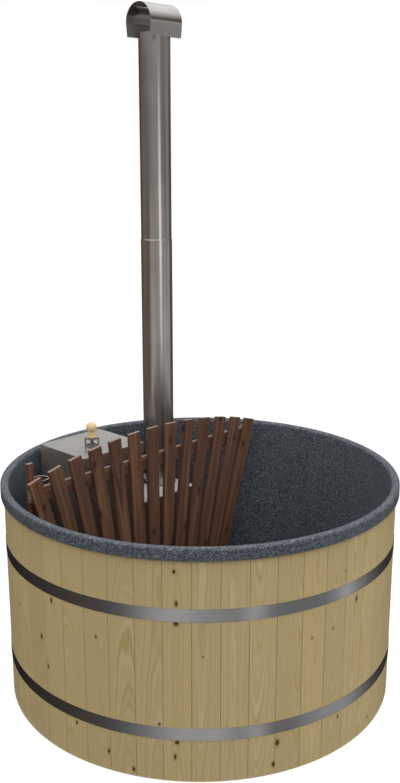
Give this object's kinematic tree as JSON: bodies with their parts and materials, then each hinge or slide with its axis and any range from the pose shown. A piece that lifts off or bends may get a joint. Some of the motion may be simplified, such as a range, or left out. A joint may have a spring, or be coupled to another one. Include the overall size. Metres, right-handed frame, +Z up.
{
  "type": "wooden hot tub",
  "caption": "Round coopered hot tub with a moulded liner, an internal wood stove with chimney behind a slatted fence, benches and a lift-out drain standpipe.",
  "frame": {"origin": "on the tub's axis, at the ground that it stands on", "axes": "+X along the fence towards the chimney, +Y from the bathers' side to the stove's side, +Z up"},
  "size_m": [1.808, 1.8079, 3.104],
  "materials": {
    "spruce": "planed, clear",
    "thermowood": "planed, oiled",
    "bearer_wood": "sawn",
    "knob_wood": "turned, waxed",
    "gelcoat": "speckled semi-gloss",
    "hoop_steel": "brushed",
    "stove_steel": "polished sheet",
    "cage_steel": "brushed",
    "flue_steel": "brushed",
    "fastener_steel": "bright",
    "grate_iron": "rough",
    "grey_pipe": "smooth",
    "seal_rubber": "soft"
  },
  "bodies": {
    "tub": {"air_baffle": "stove_steel", "base_joists": "bearer_wood", "bench_bearers": "thermowood", "bench_legs": "thermowood", "bench_screws": "fastener_steel", "bench_seat_front": "thermowood", "bench_seat_left": "thermowood", "bench_seat_right": "thermowood", "drain_cup": "grey_pipe", "drain_lock_nut": "grey_pipe", "drain_outlet": "grey_pipe", "drain_pipe": "grey_pipe", "drain_washer": "seal_rubber", "fence_post_left": "thermowood", "fence_post_right": "thermowood", "fence_rail_bottom": "thermowood", "fence_rail_top": "thermowood", "fence_screws": "fastener_steel", "fence_slat_01": "thermowood", "fence_slat_02": "thermowood", "fence_slat_03": "thermowood", "fence_slat_04": "thermowood", "fence_slat_05": "thermowood", "fence_slat_06": "thermowood", "fence_slat_07": "thermowood", "fence_slat_08": "thermowood", "fence_slat_09": "thermowood", "fence_slat_10": "thermowood", "fence_slat_11": "thermowood", "fence_slat_12": "thermowood", "fence_slat_13": "thermowood", "fire_grate": "grate_iron", "flue_collar": "flue_steel", "flue_lower": "flue_steel", "flue_upper": "flue_steel", "hood_rivets": "fastener_steel", "hoop_bolts": "fastener_steel", "hoop_lower": "hoop_steel", "hoop_upper": "hoop_steel", "liner": "gelcoat", "rain_hood": "flue_steel", "staves": "spruce", "stove_body": "stove_steel", "stove_bolts": "fastener_steel", "stove_feet": "stove_steel"},
    "lid": {"stove_lid": "stove_steel", "lid_handle_frame": "cage_steel", "lid_knob": "knob_wood", "knob_screw": "fastener_steel"},
    "standpipe": {"standpipe": "grey_pipe"}
  },
  "joints": [
    {"name": "lid_lift", "type": "slide", "parent": "tub", "child": "lid", "axis": [0, 0, 1], "range_m": [0, 0.32]},
    {"name": "standpipe_lift", "type": "slide", "parent": "tub", "child": "standpipe", "axis": [0, 0, 1], "range_m": [0, 0.25]}
  ]
}
